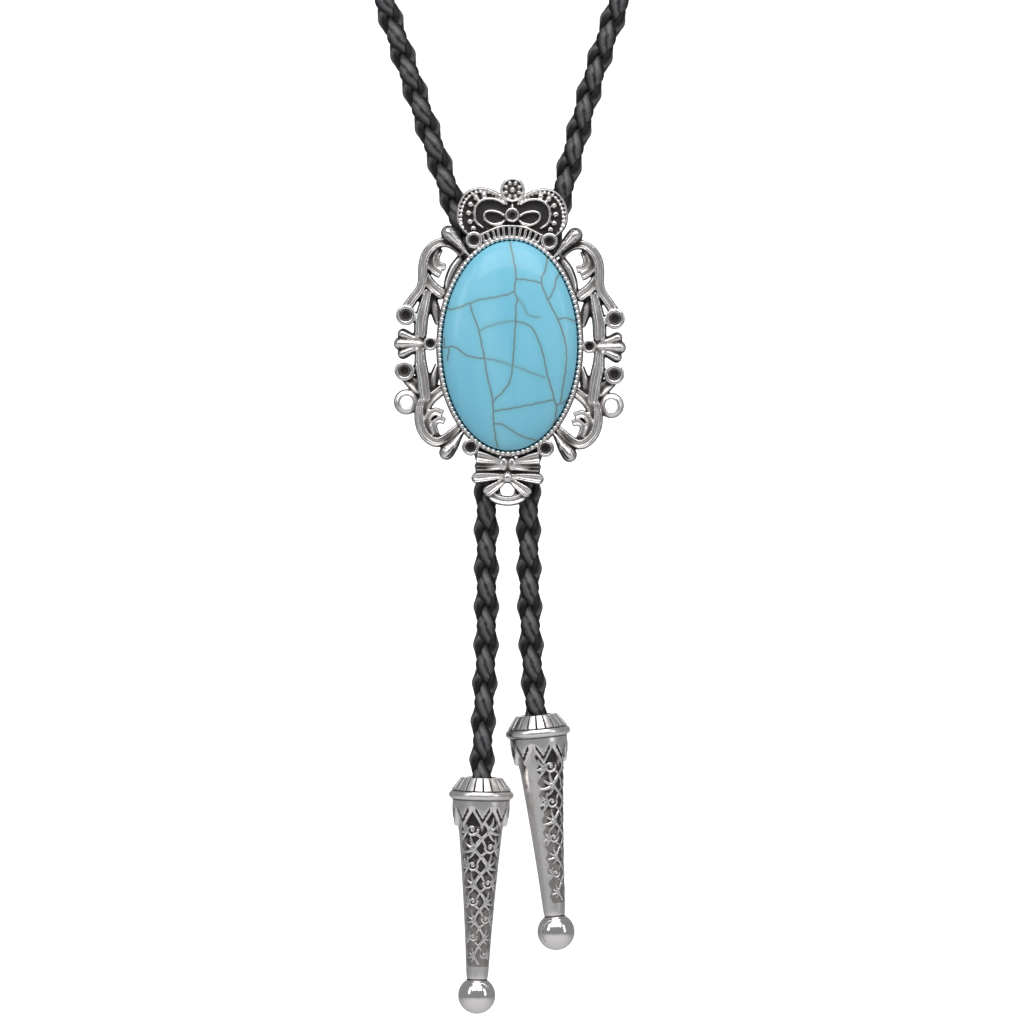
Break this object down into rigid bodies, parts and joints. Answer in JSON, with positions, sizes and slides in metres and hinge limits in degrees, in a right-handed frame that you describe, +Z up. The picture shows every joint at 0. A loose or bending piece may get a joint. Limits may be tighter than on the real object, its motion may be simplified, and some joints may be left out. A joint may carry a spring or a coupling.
{
  "type": "bolo tie",
  "caption": "Worn bolo tie: an oval stone in a pierced cast slide with a crown and bow, on a braided cord with cone tips.",
  "frame": {"origin": "at the nape, on the inner side of the cord where the loop hangs on the back of the neck", "axes": "+Z up; -Y towards the wearer's front, where the slide and both cord ends hang; +X to the right of a viewer who faces the wearer"},
  "size_m": [0.1369, 0.156, 0.3927],
  "materials": {
    "antique_silver": "polished cast silver-coloured metal with dark recesses",
    "clip_metal": "satin",
    "turquoise": "polished",
    "black_braid": "satin braid"
  },
  "bodies": {
    "root": {"medallion_frame": "antique_silver", "turquoise_stone": "turquoise", "back_clip": "clip_metal", "neck_cord": "black_braid", "left_cord_tail": "black_braid", "right_cord_tail": "black_braid", "left_tip": "antique_silver", "right_tip": "antique_silver"}
  },
  "joints": []
}
